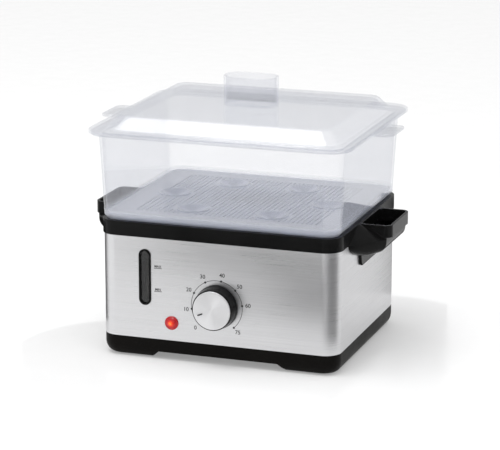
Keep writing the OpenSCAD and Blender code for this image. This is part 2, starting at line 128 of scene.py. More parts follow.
# Skin through a row of rings with the same number of points
def loft(name, rings, closed=False, caps=True):
    count = len(rings[0])
    faces = []
    last = len(rings) if closed else len(rings) - 1
    for a in range(last):
        b = (a + 1) % len(rings)
        for i in range(count):
            j = (i + 1) % count
            faces.append((a * count + i, a * count + j, b * count + j, b * count + i))
    if caps and not closed:
        faces.append(tuple(range(count - 1, -1, -1)))
        faces.append(tuple(range((len(rings) - 1) * count, len(rings) * count)))
    return meshPiece(name, [point for one in rings for point in one], faces)


# Turned solid from a profile of (radius, z)
def turned(name, profile, count=96, closed=False):
    return loft(name, [circle(radius, z, count) for radius, z in profile], closed, caps=False)


def plate(name, outline, low, high):
    return loft(name, [[(x, y, z) for x, y in outline] for z in (low, high)])


def evaluated(piece):
    graph = bpy.context.evaluated_depsgraph_get()
    return bpy.data.meshes.new_from_object(piece.evaluated_get(graph), depsgraph=graph)


def settle(piece):  # applies what the modifiers make
    mesh = evaluated(piece)
    piece.modifiers.clear()
    piece.data = mesh
    mesh.name = piece.name


def soften(piece, width=0.6, segments=3, angle=30):
    bevel = piece.modifiers.new("softEdges", "BEVEL")
    bevel.width = width * metre
    bevel.segments = segments
    bevel.limit_method = "ANGLE"
    bevel.angle_limit = math.radians(angle)
    settle(piece)
    return piece


def combine(piece, tool, operation):
    modifier = piece.modifiers.new("combine", "BOOLEAN")
    modifier.operation = operation
    modifier.object = tool
    modifier.solver = "EXACT"
    settle(piece)
    bpy.data.objects.remove(tool)
    return piece


def shade(piece, angle):  # smooth curves, with the flats kept flat
    piece.data.shade_smooth()
    piece.data.set_sharp_from_angle(angle=math.radians(angle))
    weighted = piece.modifiers.new("flats", "WEIGHTED_NORMAL")
    weighted.keep_sharp = True
    weighted.weight = 90
    settle(piece)


def joined(name, pieces):
    shape = bmesh.new()
    for piece in pieces:
        shape.from_mesh(piece.data)
        bpy.data.objects.remove(piece)
    return fromShape(name, shape)


# Moves a piece made flat at the origin to the front panel: its Z points to the user
def toFront(piece, x, z):
    spot = Vector((x, boxOf("steel_wrap")[0].y, z)) * metre
    piece.data.transform(Matrix.Translation(spot) @ Matrix.Rotation(math.pi / 2, 4, "X"))
    return piece


# Moves a piece made flat at the origin to the right side: its Z points outwards
def toSide(piece, x, z):
    turn = Matrix(((0, 0, 1, 0), (1, 0, 0, 0), (0, 1, 0, 0), (0, 0, 0, 1)))
    piece.data.transform(Matrix.Translation(Vector((x, 0, z)) * metre) @ turn)
    return piece


def mirrored(piece, name):  # a copy on the other side of the middle
    shape = bmesh.new()
    shape.from_mesh(piece.data)
    shape.transform(Matrix.Scale(-1, 4, (1, 0, 0)))
    bmesh.ops.remove_doubles(shape, verts=shape.verts, dist=1e-7)
    bmesh.ops.recalc_face_normals(shape, faces=shape.faces)
    return fromShape(name, shape)


def dress(piece, material, slotName, body, *nodes, angle=40):
    shade(piece, angle)
    piece.data.materials.clear()
    piece.data.materials.append(material)
    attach(piece, body)
    if nodes:
        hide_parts(*nodes)
    return piece


# Node helpers

# New node with its inputs set or linked. A node given for an input means its first output.
def add(tree, kind, sockets=None, **settings):
    node = tree.nodes.new(kind)
    for key, value in settings.items():
        setattr(node, key, value)
    for key, value in (sockets or {}).items():
        if isinstance(value, bpy.types.Node):
            value = value.outputs[0]
        if isinstance(value, bpy.types.NodeSocket):
            tree.links.new(value, node.inputs[key])
        else:
            node.inputs[key].default_value = value
    return node


def startMaterial(name):
    material = bpy.data.materials.new(name)
    material.use_nodes = True
    material.node_tree.nodes.clear()
    return material, material.node_tree


def endMaterial(tree, shader):
    add(tree, "ShaderNodeOutputMaterial", {"Surface": shader})


def objectSpace(tree):
    return add(tree, "ShaderNodeTexCoord").outputs["Object"]


def noise(tree, place, scale, detail=3.0, roughness=0.55):
    sockets = {"Vector": place, "Scale": scale, "Detail": detail, "Roughness": roughness}
    return add(tree, "ShaderNodeTexNoise", sockets).outputs["Fac"]


def ranged(tree, value, low, high, fromLow=0.3, fromHigh=0.7):
    sockets = {"Value": value, "From Min": fromLow, "From Max": fromHigh,
               "To Min": low, "To Max": high}
    return add(tree, "ShaderNodeMapRange", sockets).outputs["Result"]


def maths(tree, operation, first, second=0.0):
    return add(tree, "ShaderNodeMath", {0: first, 1: second}, operation=operation).outputs[0]


def mixed(tree, share, first, second):
    sockets = {0: share, 6: first, 7: second}
    return add(tree, "ShaderNodeMix", sockets, data_type="RGBA").outputs[2]


def grey(level, warmth=0.0):
    return (level * (1 + warmth), level, level * (1 - warmth), 1.0)


# Moulded plastic: a fine spark-eroded grain, broad flow marks and slightly rounded edges
def mouldedPlastic(name, colour, roughness, grain=1400, height=0.012, mottle=0.12, shine=0.5,
                   edge=0.0):
    material, tree = startMaterial(name)
    place = objectSpace(tree)
    fine = noise(tree, place, grain, 2.0)
    broad = noise(tree, place, 28, 4.0)
    tone = add(tree, "ShaderNodeHueSaturation",
               {"Color": colour, "Value": ranged(tree, broad, 1 - mottle, 1 + mottle)})
    gloss = maths(tree, "MULTIPLY", ranged(tree, broad, 0.88, 1.12),
                  ranged(tree, fine, roughness * 0.93, roughness * 1.07))
    bump = add(tree, "ShaderNodeBump", {"Height": fine, "Distance": height * metre, "Strength": 1.0})
    if edge:
        rounded = add(tree, "ShaderNodeBevel", {"Radius": edge * metre}, samples=4)
        tree.links.new(rounded.outputs[0], bump.inputs["Normal"])
    shader = add(tree, "ShaderNodeBsdfPrincipled",
                 {"Base Color": tone, "Roughness": gloss, "Normal": bump,
                  "IOR": 1.5, "Specular IOR Level": shine})
    endMaterial(tree, shader)
    return material


# Last nodes of a metal whose brush marks turn about the given axis
def brushedShader(tree, tone, gloss, anisotropy, marks, depth, axis):
    bump = add(tree, "ShaderNodeBump",
               {"Height": marks, "Distance": depth * metre, "Strength": 0.6})
    tangent = add(tree, "ShaderNodeTangent", direction_type="RADIAL", axis=axis)
    shader = add(tree, "ShaderNodeBsdfPrincipled",
                 {"Base Color": tone, "Metallic": 1.0, "Roughness": gloss,
                  "Anisotropic": anisotropy, "Tangent": tangent,
                  "Normal": bump})
    endMaterial(tree, shader)


# Sheet brushed along the horizontal, round the corners too
def brushedSheet(name, colour, roughness, stretch=0.004, lines=2600, depth=0.004, anisotropy=0.75):
    material, tree = startMaterial(name)
    split = add(tree, "ShaderNodeSeparateXYZ", {0: objectSpace(tree)})
    along = maths(tree, "ADD", split.outputs[0], split.outputs[1])
    place = add(tree, "ShaderNodeCombineXYZ",
                {0: maths(tree, "MULTIPLY", along, stretch), 2: split.outputs[2]}).outputs[0]
    scratches = noise(tree, place, lines, 2.0, 0.7)
    bands = noise(tree, place, lines / 9, 3.0, 0.6)
    smudge = noise(tree, objectSpace(tree), 14, 3.0)
    level = maths(tree, "MULTIPLY", ranged(tree, scratches, 0.93, 1.05),
                  ranged(tree, bands, 0.97, 1.02))
    tone = add(tree, "ShaderNodeHueSaturation", {"Color": colour, "Value": level})
    gloss = maths(tree, "MULTIPLY", ranged(tree, scratches, roughness * 0.85, roughness * 1.2),
                  ranged(tree, smudge, 0.94, 1.06))
    brushedShader(tree, tone, gloss, anisotropy, scratches, depth, "Z")
    return material


# Place measured from an axis along Y through x and z, and the distance from that axis
def aboutAxis(tree, x, z):
    place = add(tree, "ShaderNodeVectorMath",
                {0: objectSpace(tree), 1: (-x * metre, 0, -z * metre)}, operation="ADD")
    flat = add(tree, "ShaderNodeVectorMath", {0: place, 1: (1, 0, 1)},
               operation="MULTIPLY")
    radius = add(tree, "ShaderNodeVectorMath", {0: flat}, operation="LENGTH")
    return place.outputs[0], radius.outputs["Value"]


# Face turned on a lathe: fine rings round an axis along Y through the given height
def turnedMetal(name, colour, roughness, height, rings=2400, depth=0.003, anisotropy=0.85):
    material, tree = startMaterial(name)
    place = add(tree, "ShaderNodeCombineXYZ", {0: aboutAxis(tree, 0, height)[1]}).outputs[0]
    grooves = noise(tree, place, rings, 2.0, 0.7)
    broad = noise(tree, objectSpace(tree), 60, 3.0)
    tone = add(tree, "ShaderNodeHueSaturation",
               {"Color": colour, "Value": ranged(tree, grooves, 0.94, 1.04)})
    gloss = maths(tree, "MULTIPLY", ranged(tree, grooves, roughness * 0.85, roughness * 1.2),
                  ranged(tree, broad, 0.95, 1.05))
    brushedShader(tree, tone, gloss, anisotropy, grooves, depth, "Y")
    return material


# Plain metal with a rolled or plated skin
def plainMetal(name, colour, roughness, grain=500, mottle=0.1):
    material, tree = startMaterial(name)
    place = objectSpace(tree)
    fine = noise(tree, place, grain, 4.0)
    stains = noise(tree, place, 45, 4.0)
    tone = add(tree, "ShaderNodeHueSaturation",
               {"Color": colour, "Value": ranged(tree, stains, 1 - mottle, 1 + mottle)})
    gloss = maths(tree, "MULTIPLY", ranged(tree, fine, roughness * 0.85, roughness * 1.15),
                  ranged(tree, stains, 0.9, 1.1))
    rounded = add(tree, "ShaderNodeBevel", {"Radius": 0.25 * metre}, samples=4)
    bump = add(tree, "ShaderNodeBump", {"Height": fine, "Distance": 0.01 * metre,
                                        "Normal": rounded})
    shader = add(tree, "ShaderNodeBsdfPrincipled",
                 {"Base Color": tone, "Metallic": 1.0, "Roughness": gloss,
                  "Normal": bump})
    endMaterial(tree, shader)
    return material


# Thin clear wall: it passes light straight, darkens and shines at grazing angles, and
# holds a little milky haze with flow marks in it
def clearPlastic(name, face, edge, haze, hazeColour=(0.86, 0.88, 0.94, 1), roughness=0.06, foot=None):
    material, tree = startMaterial(name)
    place = objectSpace(tree)
    marks = noise(tree, place, 22, 4.0)
    grain = noise(tree, place, 700, 2.0)
    bump = add(tree, "ShaderNodeBump", {"Height": marks, "Distance": 0.25 * metre, "Strength": 0.25})
    facing = add(tree, "ShaderNodeLayerWeight", {"Blend": 0.5}).outputs["Facing"]
    thick = maths(tree, "POWER", facing, 2.5)
    tint = mixed(tree, thick, face, edge)
    through = add(tree, "ShaderNodeBsdfTransparent", {"Color": tint})
    milk = add(tree, "ShaderNodeBsdfDiffuse", {"Color": hazeColour, "Normal": bump})
    glow = add(tree, "ShaderNodeBsdfTranslucent", {"Color": hazeColour})
    cloud = add(tree, "ShaderNodeMixShader", {0: 0.5, 1: milk, 2: glow})
    amount = maths(tree, "ADD", ranged(tree, marks, haze * 0.75, haze * 1.25),
                   maths(tree, "MULTIPLY", thick, haze * 2.5))
    if foot:  # milkier between these two heights, where the moulding is thick
        height = add(tree, "ShaderNodeSeparateXYZ", {0: place}).outputs["Z"]
        milkier = ranged(tree, height, 0.4, 0.0, foot[0] * metre, foot[1] * metre)
        amount = maths(tree, "ADD", amount, milkier)
    body = add(tree, "ShaderNodeMixShader", {0: amount, 1: through, 2: cloud})
    shine = add(tree, "ShaderNodeBsdfGlossy",
                {"Color": (1, 1, 1, 1), "Normal": bump,
                 "Roughness": ranged(tree, grain, roughness * 0.8, roughness * 1.3)})
    mirror = maths(tree, "ADD", maths(tree, "MULTIPLY", maths(tree, "POWER", facing, 5.0), 0.8), 0.035)
    shader = add(tree, "ShaderNodeMixShader", {0: mirror, 1: body, 2: shine})
    endMaterial(tree, shader)
    return material


# Red lens, brighter towards its middle
def redLens(name, x, z, reach):
    material, tree = startMaterial(name)
    place, radius = aboutAxis(tree, x, z)
    patches = add(tree, "ShaderNodeTexVoronoi", {"Vector": place, "Scale": 420.0})
    near = ranged(tree, radius, 1.0, 0.0, 0.0, reach * metre)
    spark = maths(tree, "MULTIPLY", maths(tree, "POWER", near, 2.0),
                  ranged(tree, patches.outputs["Distance"], 1.25, 0.5, 0.0, 0.6))
    glow = mixed(tree, spark, (0.55, 0.003, 0.004, 1), (1.0, 0.42, 0.04, 1))
    strength = maths(tree, "ADD", maths(tree, "MULTIPLY", spark, 1.6), 0.16)
    grain = noise(tree, place, 900, 2.0)
    shader = add(tree, "ShaderNodeBsdfPrincipled",
                 {"Base Color": mixed(tree, near, (0.35, 0.0, 0.006, 1), (0.85, 0.04, 0.01, 1)),
                  "Roughness": ranged(tree, grain, 0.05, 0.11), "IOR": 1.5,
                  "Emission Color": glow, "Emission Strength": strength})
    endMaterial(tree, shader)
    return material


# Geometry node helpers

def startTree(name, sockets):
    tree = bpy.data.node_groups.new(name, "GeometryNodeTree")
    tree.interface.new_socket("Geometry", in_out="INPUT", socket_type="NodeSocketGeometry")
    for label, kind in sockets.items():
        tree.interface.new_socket(label, in_out="INPUT", socket_type="NodeSocket" + kind)
    tree.interface.new_socket("Geometry", in_out="OUTPUT", socket_type="NodeSocketGeometry")
    return tree, tree.nodes.new("NodeGroupInput").outputs


def endTree(tree, geometry, material):
    real = add(tree, "GeometryNodeRealizeInstances", {"Geometry": geometry})
    painted = add(tree, "GeometryNodeSetMaterial",
                  {"Geometry": real, "Material": material})
    end = tree.nodes.new("NodeGroupOutput")
    tree.links.new(painted.outputs[0], end.inputs[0])


def grow(piece, tree, values):
    modifier = piece.modifiers.new(tree.name, "NODES")
    modifier.node_group = tree
    for item in tree.interface.items_tree:
        if item.in_out == "INPUT" and item.name in values:
            modifier[item.identifier] = values[item.name]
    settle(piece)
    return piece


# One object on each point of a mesh
def makeSpreadTree():
    tree, given = startTree("spreadOnPoints", {"Part": "Object", "Material": "Material"})
    part = add(tree, "GeometryNodeObjectInfo", {"Object": given["Part"]})
    spread = add(tree, "GeometryNodeInstanceOnPoints",
                 {"Points": given["Geometry"], "Instance": part.outputs["Geometry"]})
    endTree(tree, spread, given["Material"])
    return tree


# Flat net of cells, each with a hole, left plain near the input's points and open under them
def makeNetTree():
    tree, given = startTree("perforatedNet", {
        "Width": "Float", "Depth": "Float", "Cell": "Float", "Hole": "Float",
        "Plain": "Float", "Open": "Float", "Height": "Float", "Material": "Material"})
    across = maths(tree, "DIVIDE", given["Width"], given["Cell"])
    down = maths(tree, "DIVIDE", given["Depth"], given["Cell"])
    grid = add(tree, "GeometryNodeMeshGrid",
               {"Size X": given["Width"], "Size Y": given["Depth"],
                "Vertices X": maths(tree, "ADD", across, 1.0),
                "Vertices Y": maths(tree, "ADD", down, 1.0)})
    lift = add(tree, "ShaderNodeCombineXYZ", {2: given["Height"]})
    raised = add(tree, "GeometryNodeSetPosition",
                 {"Geometry": grid.outputs["Mesh"], "Offset": lift})
    near = add(tree, "GeometryNodeProximity", {0: given["Geometry"]}, target_element="POINTS")
    inset = add(tree, "GeometryNodeExtrudeMesh",
                {"Mesh": raised, "Offset Scale": 0.0, "Individual": True}, mode="FACES")
    shrunk = add(tree, "GeometryNodeScaleElements",
                 {"Geometry": inset.outputs["Mesh"], "Selection": inset.outputs["Top"],
                  "Scale": given["Hole"]}, domain="FACE")
    far = maths(tree, "GREATER_THAN", near.outputs["Distance"], given["Plain"])
    close = maths(tree, "LESS_THAN", near.outputs["Distance"], given["Open"])
    hole = maths(tree, "MULTIPLY", inset.outputs["Top"], far)
    gone = add(tree, "GeometryNodeDeleteGeometry",
               {"Geometry": shrunk, "Selection": maths(tree, "MAXIMUM", hole, close)},
               domain="FACE")
    endTree(tree, gone, given["Material"])
    return tree


spreadTree = makeSpreadTree()
netTree = makeNetTree()


def pointCloud(name, points):
    return meshPiece(name, points, [])


# Materials

steelLow, steelHigh = boxOf("steel_wrap")
frontY = steelLow.y
bodyWidth, bodyDepth = steelHigh.x - steelLow.x, steelHigh.y - steelLow.y
bodyCorner = 15
knobLow, knobHigh = boxOf("knob")
dialHeight = (knobLow.z + knobHigh.z) / 2
lampLow, lampHigh = boxOf("lamp_lens")
lampX, lampZ = (lampLow.x + lampHigh.x) / 2, (lampLow.z + lampHigh.z) / 2

glossBlack = mouldedPlastic("glossBlack", grey(0.006), 0.2, 500, 0.006, 0.2, 0.08, edge=0.5)
satinBlack = mouldedPlastic("satinBlack", grey(0.0035, 0.15), 0.4, 1500, 0.02, 0.2, 0.06)
knobBlack = mouldedPlastic("knobBlack", grey(0.003), 0.2, 900, 0.006, 0.2, 0.1)
charcoal = mouldedPlastic("charcoal", grey(0.03), 0.5, 1200, 0.02, 0.15, edge=0.4)
cream = mouldedPlastic("cream", (0.68, 0.63, 0.5, 1), 0.45, 1100, 0.015, 0.08, edge=0.4)
padRubber = mouldedPlastic("padRubber", grey(0.025), 0.8, 900, 0.06, 0.25)
silicone = mouldedPlastic("silicone", (0.42, 0.09, 0.04, 1), 0.6, 800, 0.02, 0.15, edge=0.3)
wireSleeve = mouldedPlastic("wireSleeve", (0.5, 0.03, 0.02, 1), 0.5, 1600, 0.02, 0.2)
printInk = mouldedPlastic("printInk", grey(0.012), 0.55, 2600, 0.004, 0.3)
milky = mouldedPlastic("milky", (0.72, 0.73, 0.82, 1), 0.35, 900, 0.02, 0.06, edge=0.5)
floatDark = mouldedPlastic("floatDark", grey(0.02), 0.5, 1200, 0.015, 0.2, edge=0.3)
brushedSteel = brushedSheet("brushedSteel", (0.66, 0.66, 0.67, 1), 0.3)
zinc = plainMetal("zinc", (0.56, 0.57, 0.6, 1), 0.35)
knobMetal = turnedMetal("knobMetal", (0.76, 0.76, 0.77, 1), 0.32, dialHeight)
clearWall = clearPlastic("clearWall", (0.982, 0.983, 0.987, 1), (0.75, 0.76, 0.79, 1), 0.04,
                         foot=(129, 135))
clearLid = clearPlastic("clearLid", (0.955, 0.957, 0.965, 1), (0.93, 0.935, 0.95, 1), 0.06)
clearTube = clearPlastic("clearTube", (0.93, 0.94, 0.95, 1), (0.5, 0.52, 0.55, 1), 0.02)
trayPlastic = clearPlastic("trayPlastic", (0.92, 0.93, 0.95, 1), (0.7, 0.72, 0.78, 1), 0.6,
                           (0.7, 0.715, 0.77, 1), 0.18)
smoked = clearPlastic("smoked", (0.5, 0.5, 0.49, 1), (0.1, 0.1, 0.1, 1), 0.05, grey(0.2))
redGlass = redLens("redGlass", lampX, lampZ, 4.2)
print("materials made")


# Base: a tub with two side rails and a sloped channel between them

baseLook = {"turnIn": 7.0, "turnFrom": 11.5, "channelHalf": 56.0, "channelFoot": 63.0,
            "channelTop": 7.0, "wall": 2.5, "floor": 9.5, "levels": 9, "railX": 84}
fixingLook = {"padRadius": 7, "headRadius": 3.2, "shankRadius": 1.5, "pitch": 1.3}


# Middles of the four feet, screws or posts of a node, each of the given radius
def cornerSpots(node, radius):
    high = boxOf(node)[1]
    return [(sx * (high.x - radius), sy * (high.y - radius), 0) for sx in (-1, 1) for sy in (-1, 1)]


def makeBase():
    floorZ = boxOf("base_tub")[0].z
    top = steelLow.z
    channelTop = baseLook["channelTop"]
    half, foot = baseLook["channelHalf"], baseLook["channelFoot"]
    middle = (half + foot) / 2
    stops = [s * x for s in (-1, 1) for x in (half - 12, half, middle, foot, foot + 6)]

    def bottomAt(x):
        share = min(max((abs(x) - half) / (foot - half), 0), 1)
        return channelTop + (floorZ - channelTop) * share

    def insetAt(z):
        turnTop = top - baseLook["turnFrom"] + 4
        rise = min(max((turnTop - z) / (turnTop - floorZ), 0), 1)
        return baseLook["turnIn"] * (1 - math.sqrt(1 - rise * rise))

    nominal = ring(bodyWidth, bodyDepth, bodyCorner, 0, stops)
    rings = []
    wall = 2 * baseLook["wall"]
    for z in (baseLook["floor"], top):
        rings.append(ring(bodyWidth - wall, bodyDepth - wall, bodyCorner - wall / 2, z, stops))
    for level in range(baseLook["levels"] + 1):
        share = level / baseLook["levels"]
        points = []
        for index, (x, y, z) in enumerate(nominal):
            height = top + (bottomAt(x) - top) * (1 - (1 - share) ** 1.6)
            inset = insetAt(height)
            outline = ring(bodyWidth - 2 * inset, bodyDepth - 2 * inset, bodyCorner - inset / 2,
                           height, stops)
            points.append(outline[index])
        rings.append(points)
    count = len(nominal)
    points = [point for one in rings for point in one]
    faces = []
    for a in range(len(rings) - 1):
        for i in range(count):
            j = (i + 1) % count
            faces.append((a * count + i, a * count + j, (a + 1) * count + j, (a + 1) * count + i))
    faces.append(tuple(range(count - 1, -1, -1)))
    side = cornerSteps + 1
    start = (len(rings) - 1) * count
    back = [start + i for i in range(side, 2 * side + len(stops) + side)]
    front = [start + i for i in range(3 * side + len(stops), count)] + [start + i for i in range(side)]
    back.reverse()
    for k in range(len(front) - 1):
        faces.append((front[k], front[k + 1], back[k + 1], back[k]))
    piece = meshPiece("baseTub", points, faces)
    padHigh = boxOf("foot_pads")[1]
    screwHigh = boxOf("base_screws")[1]
    cutters = []
    for sx in (-1, 1):
        cutters.append(plate("railPocket", flatRing(30, 60, 6, (sx * baseLook["railX"], 0)), -1, 3.3))
        for sy in (-1, 1):
            for name, high, inset, radius, depth, count in (
                    ("counterbore", screwHigh, fixingLook["headRadius"], 3.6, 5, 32),
                    ("padSeat", padHigh, fixingLook["padRadius"], 7.2, 2, 48)):
                profile = [(0, -1), (radius, -1), (radius, depth), (0, depth)]
                cutter = turned(name, profile, count)
                spot = Vector((sx * (high.x - inset), sy * (high.y - inset), 0)) * metre
                cutter.data.transform(Matrix.Translation(spot))
                cutters.append(cutter)
    for cutter in cutters:
        combine(piece, cutter, "DIFFERENCE")
    soften(piece, 0.5, 2, 34)
    dress(piece, satinBlack, "black_plastic", "base", "base_tub")


def makePadsAndScrews():
    low, high = boxOf("foot_pads")
    radius = fixingLook["padRadius"]
    profile = [(0, low.z + 0.35), (2.2, low.z + 0.35), (2.5, low.z), (3.9, low.z), (4.2, low.z + 0.35),
               (4.6, low.z + 0.35), (4.9, low.z), (radius - 0.5, low.z), (radius, low.z + 0.5),
               (radius, high.z), (0, high.z)]
    pad = turned("padForm", profile, 48)
    spots = cornerSpots("foot_pads", radius)
    pads = grow(pointCloud("footPads", spots), spreadTree, {"Part": pad, "Material": padRubber})
    bpy.data.objects.remove(pad)
    dress(pads, padRubber, "rubber", "base", "foot_pads")

    low, high = boxOf("base_screws")
    head, shank, pitch = fixingLook["headRadius"], fixingLook["shankRadius"], fixingLook["pitch"]
    profile = [(0, low.z), (head - 0.7, low.z), (head - 0.2, low.z + 0.25), (head, low.z + 0.7),
               (head, low.z + 2.4), (shank, low.z + 2.4)]
    for turn in range(20):
        z = low.z + 4 + pitch * turn
        profile += [(shank - 0.25, z), (shank, z + pitch / 2)]
    profile += [(shank, high.z - 1), (0.2, high.z), (0, high.z)]
    screw = turned("screwForm", profile, 24)
    for angle in (0, 90):
        slot = plate("crossSlot", flatRing(4, 0.8, 0.2), low.z - 1, low.z + 1)
        slot.data.transform(Matrix.Rotation(math.radians(angle), 4, "Z"))
        combine(screw, slot, "DIFFERENCE")
    spots = cornerSpots("base_screws", head)
    screws = grow(pointCloud("baseScrews", spots), spreadTree, {"Part": screw, "Material": zinc})
    bpy.data.objects.remove(screw)
    dress(screws, zinc, "zinc_steel", "base", "base_screws")


# Steel wrap with its openings

steelLook = {"sheet": 0.8, "knobHole": 4.0, "screwHole": 1.7, "screwOut": 14.0, "lampHole": 5.0,
             "glandHole": 6.5, "ductWidth": 46.0, "ductDrop": 17.0}


def frontHole(radius, x, z):
    tool = turned("hole", [(0, -4), (radius, -4), (radius, 4), (0, 4)], 48)
    return toFront(tool, x, z)


def makeSteel():
    sheet = 2 * steelLook["sheet"]
    outer = [ring(bodyWidth, bodyDepth, bodyCorner, z) for z in (steelLow.z, steelHigh.z)]
    inner = [ring(bodyWidth - sheet, bodyDepth - sheet, bodyCorner - sheet / 2, z)
             for z in (steelHigh.z, steelLow.z)]
    piece = loft("steelWrap", outer + inner, closed=True)
    low, high = boxOf("window_bezel")
    window = flatRing(high.x - low.x - 1.6, high.z - low.z - 1.6, 9)
    tools = [toFront(plate("windowHole", window, -4, 4), (low.x + high.x) / 2, (low.z + high.z) / 2)]
    tools.append(frontHole(steelLook["lampHole"], lampX, lampZ))
    tools.append(frontHole(steelLook["knobHole"], 0, dialHeight))
    for side in (-1, 1):
        tools.append(frontHole(steelLook["screwHole"], side * steelLook["screwOut"], dialHeight))
    low, high = boxOf("cord_gland")
    gland = frontHole(steelLook["glandHole"], (low.x + high.x) / 2, (low.z + high.z) / 2)
    gland.data.transform(Matrix.Translation((0, bodyDepth * metre, 0)))
    tools.append(gland)
    for side in (-1, 1):
        duct = flatRing(8, steelLook["ductWidth"], 1, (side * bodyWidth / 2, 0))
        tools.append(plate("ductHole", duct, steelHigh.z - steelLook["ductDrop"], steelHigh.z + 1))
    for tool in tools:
        combine(piece, tool, "DIFFERENCE")
    soften(piece, 0.2, 2, 40)
    dress(piece, brushedSteel, "brushed_steel", "base", "steel_wrap", angle=30)


# Collar with its two handles. A handle is a tray frame, a pocket below it, a tongue on the
# steel and a short duct into the tank.

collarLook = {"seatDrop": 5.5, "seatInset": 7.2, "seatCorner": 11, "wellInset": 21.2, "wellCorner": 16,
              "skirt": 6.0, "skirtInset": 1.05, "skirtWall": 1.6, "edge": 0.9}
handleLook = {"width": 62, "wall": 2.2, "corner": 7, "pocketReach": 26,
              "pocketHalf": 61.5, "pocketDepth": 14.4, "pocketSlope": 22, "pocketPower": 3.0,
              "openingReach": 21, "cheekHalf": 36, "tongueHalf": 31, "tongueTop": 12,
              "tongueLow": 27.4, "tongueProud": 2.6}


def makePocket():
    look = handleLook
    wallX, top = steelHigh.x + 0.1, steelHigh.z
    collarTop = boxOf("top_collar")[1].z
    half, trayHalf = look["pocketHalf"], look["width"] / 2
    flat, power = half - look["pocketSlope"], look["pocketPower"]
    stations = [s * (trayHalf + d) for s in (-1, 1) for d in (-0.05, 0.05, 0.9)]
    stations += [trayHalf * k / 8 for k in range(-7, 8)]
    for k in range(21):
        y = half - 0.02 - (half - trayHalf - 1.6) * (1 - math.cos(math.pi / 2 * k / 20))
        stations += [-y, y]
    arc = [math.pi / 2 * k / 18 for k in range(19)]

    def curve(reach, depth):
        return [(wallX + reach * math.cos(a) ** (2 / power), top - depth * math.sin(a) ** (2 / power))
                for a in arc]

    sections = []
    for y in sorted(stations):
        end = half - abs(y)
        outX = look["pocketReach"] * min(end / (half - trayHalf), 1)
        outZ = look["pocketDepth"] * math.sqrt(min(end / (half - flat), 1))
        inX, inZ = max(outX - look["wall"], 0.1), max(outZ - look["wall"], 0.1)
        outer, inner = curve(outX, outZ), list(reversed(curve(inX, inZ)))
        if abs(y) < trayHalf:
            head = [(wallX + outX, top + 1.6)]
            tail = [(wallX + inX, top + 0.8), (wallX + inX, top + 1.6)]
        else:
            run = max(abs(y) - look["cheekHalf"], 0) / (half - look["cheekHalf"])
            cheekTop = top + (collarTop - 0.6 - top) * (1 - run) + 0.02
            head = [(wallX + 2.6 * min(end / 8, 1) + 0.02, cheekTop)]
            tail = [(wallX + 0.01, top), (wallX + 0.01, cheekTop)]
        sections.append([(x, y, z) for x, z in head + outer + inner + tail])
    return loft("pocket", sections)


def makeTrayFrame():
    look = handleLook
    reach = boxOf("handle_right")[1].x
    top, low = boxOf("top_collar")[1].z - 0.5, steelHigh.z + 1.5
    inset = 2 * look["wall"]
    hidden = 106  # the frame's inner end stays inside the collar's wall
    length = reach - hidden
    middle = ((reach + hidden) / 2, 0)
    pocketLow = steelHigh.x + 2.4
    insideLength = reach - look["wall"] - pocketLow
    inside = (pocketLow + insideLength / 2, 0)
    opening = (pocketLow + look["openingReach"] / 2 - 1, 0)
    shelf = low + look["wall"]
    width, corner = look["width"], look["corner"]
    rings = [ring(length, width, corner, low, middle=middle),
             ring(length, width, corner, top, middle=middle),
             ring(insideLength, width - inset, corner - look["wall"], top, middle=inside),
             ring(insideLength, width - inset, corner - look["wall"], shelf, middle=inside),
             ring(look["openingReach"] - 2, width - inset - 1, 4, shelf, middle=opening),
             ring(look["openingReach"] - 2, width - inset - 1, 4, low, middle=opening)]
    return soften(loft("trayFrame", rings, closed=True), 0.7, 3)


def makeTongue():
    look = handleLook
    half, top = look["tongueHalf"], steelHigh.z - look["tongueTop"]
    low = steelHigh.z - look["tongueLow"]
    outline = [(-half, top), (-half + 3.6, low + 3), (-half + 6.5, low), (half - 6.5, low),
               (half - 3.6, low + 3), (half, top)]
    piece = toSide(plate("tongue", outline, 0, look["tongueProud"]), steelHigh.x + 0.05, 0)
    return soften(piece, 0.7, 3)


def makeDuct():
    tankSide = steelHigh.x - 21
    low, high = steelHigh.z - 15.1, steelHigh.z - 2.9
    centreZ, height, width = (low + high) / 2, high - low, 43.2
    rings = [ring(width, height, 1.5, 0), ring(width, height, 1.5, 24),
             ring(width - 3.2, height - 3.2, 1, 24), ring(width - 3.2, height - 3.2, 1, 0)]
    return toSide(soften(loft("duct", rings, closed=True), 0.3, 2), tankSide, centreZ)


